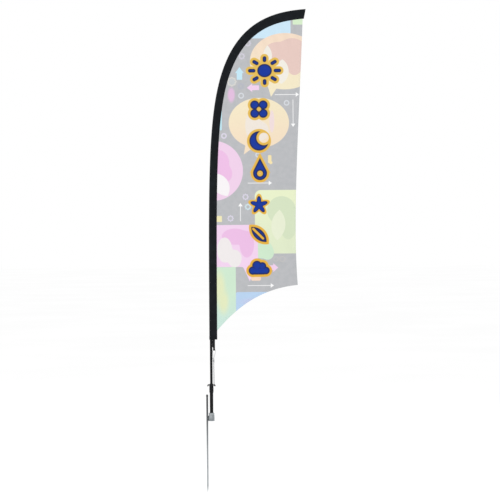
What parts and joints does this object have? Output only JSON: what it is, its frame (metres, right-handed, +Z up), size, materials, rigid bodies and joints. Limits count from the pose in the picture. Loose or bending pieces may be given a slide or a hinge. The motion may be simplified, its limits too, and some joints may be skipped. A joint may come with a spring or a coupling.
{
  "type": "ground-spike sail flag",
  "caption": "Curved sail flag on a bent pole: printed panel, black pole sleeve, elastic tie-down, ball-bearing spindle and steel ground spike.",
  "frame": {"origin": "on the spike's axis at ground level, which is the underside of the bearing housing", "axes": "+Z up along the spike and pole, +X the way the flag flies at rest, +Y across the sail"},
  "size_m": [0.656, 0.038, 3.0963],
  "materials": {
    "galvanised_steel": "zinc-plated, dull sheen",
    "turned_aluminium": "turned, satin",
    "bearing_steel": "ground, bright",
    "black_aluminium": "black powder coat, satin",
    "black_fibreglass": "pultruded, satin",
    "black_plastic": "moulded, fine texture",
    "grey_rubber": "matte",
    "black_cloth": "woven polyester",
    "printed_cloth": "knitted flag polyester with a dye print",
    "black_webbing": "ribbed webbing",
    "white_elastic": "braided shock cord"
  },
  "bodies": {
    "ground_anchor": {"spike_rod": "galvanised_steel", "spike_cap": "grey_rubber", "spike_web": "galvanised_steel", "bearing_housing": "turned_aluminium", "housing_plug": "turned_aluminium", "retaining_ring": "bearing_steel", "lower_outer_race": "bearing_steel", "upper_outer_race": "bearing_steel"},
    "spindle": {"spindle_shaft": "bearing_steel", "spindle_washer": "bearing_steel", "spindle_nut": "bearing_steel", "spindle_flange": "turned_aluminium", "pole_adapter": "black_plastic", "lower_o_ring": "grey_rubber", "upper_o_ring": "grey_rubber", "lower_inner_race": "bearing_steel", "upper_inner_race": "bearing_steel"},
    "bearing_cages": {"lower_cage": "black_plastic", "upper_cage": "black_plastic", "lower_ball_1": "bearing_steel", "lower_ball_2": "bearing_steel", "lower_ball_3": "bearing_steel", "lower_ball_4": "bearing_steel", "lower_ball_5": "bearing_steel", "lower_ball_6": "bearing_steel", "lower_ball_7": "bearing_steel", "upper_ball_1": "bearing_steel", "upper_ball_2": "bearing_steel", "upper_ball_3": "bearing_steel", "upper_ball_4": "bearing_steel", "upper_ball_5": "bearing_steel", "upper_ball_6": "bearing_steel", "upper_ball_7": "bearing_steel"},
    "lower_pole": {"lower_tube": "black_aluminium", "tube_foot": "black_plastic", "tube_collar": "black_plastic", "pole_bush": "black_plastic", "hook_collar": "black_plastic", "hook_grub_screw": "bearing_steel"},
    "flag": {"pole_plug": "black_plastic", "mid_pole": "black_aluminium", "mid_ferrule": "bearing_steel", "upper_pole": "black_fibreglass", "upper_ferrule": "bearing_steel", "tip_rod": "black_fibreglass", "tip_cap": "black_plastic", "tip_pocket": "black_cloth", "pole_sleeve": "black_cloth", "flag_panel": "printed_cloth", "webbing_tab": "black_webbing", "elastic_loop": "white_elastic", "elastic_knot": "white_elastic"}
  },
  "joints": [
    {"name": "spindle_spin", "type": "hinge", "parent": "ground_anchor", "child": "spindle", "pos_m": [0.028, 0, 0.023], "axis": [0, 0, 1], "continuous": true},
    {"name": "cage_orbit", "type": "hinge", "parent": "ground_anchor", "child": "bearing_cages", "pos_m": [0.028, 0, 0.023], "axis": [0, 0, 1], "continuous": true},
    {"name": "pole_lift", "type": "slide", "parent": "spindle", "child": "lower_pole", "axis": [0, 0, 1], "range_m": [0, 0.09]},
    {"name": "pole_pull", "type": "slide", "parent": "lower_pole", "child": "flag", "axis": [0, 0, 1], "range_m": [0, 0.06], "stiffness_N_per_m": 150, "springref_m": -0.05, "deforming": ["elastic_loop"]}
  ],
  "couplings": [
    {"joint": "cage_orbit", "follows": "spindle_spin", "ratio": 0.381}
  ]
}
